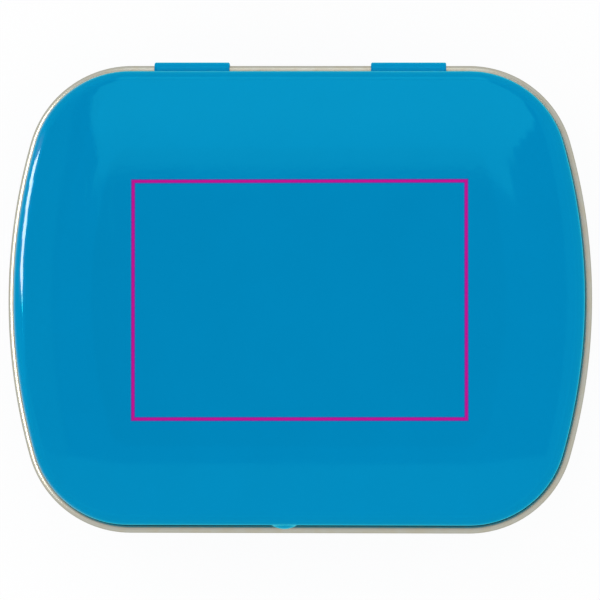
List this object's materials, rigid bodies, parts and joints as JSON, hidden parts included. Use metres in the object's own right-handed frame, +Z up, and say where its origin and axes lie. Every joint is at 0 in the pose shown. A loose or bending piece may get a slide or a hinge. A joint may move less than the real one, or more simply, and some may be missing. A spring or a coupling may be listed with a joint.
{
  "type": "hinged mint tin",
  "caption": "Small shallow tinplate box with bowed ends and a hinged lid with a rolled edge, for mints or keepsakes.",
  "frame": {"origin": "middle of the closed tin's footprint on the table, under the middle of the rolled edge's outline", "axes": "+X to the right along the long side, +Y back towards the hinge, +Z up; the thumb bump faces -Y"},
  "size_m": [0.0612, 0.0493, 0.0165],
  "materials": {
    "lid_lacquer": "gloss blue lacquer",
    "base_lacquer": "gloss blue lacquer",
    "tab_lacquer": "gloss blue lacquer",
    "bare_tinplate": "bare bright tinplate, faintly grained along the roll"
  },
  "bodies": {
    "base": {"base_pan": "base_lacquer", "hinge_tab_left": "tab_lacquer", "hinge_tab_right": "tab_lacquer"},
    "lid": {"lid_cover": "lid_lacquer", "lid_rolled_edge": "bare_tinplate"}
  },
  "joints": [
    {"name": "lid_hinge", "type": "hinge", "parent": "base", "child": "lid", "pos_m": [0, 0.02395, 0.01065], "axis": [-1, 0, 0], "range_deg": [0, 120]}
  ]
}
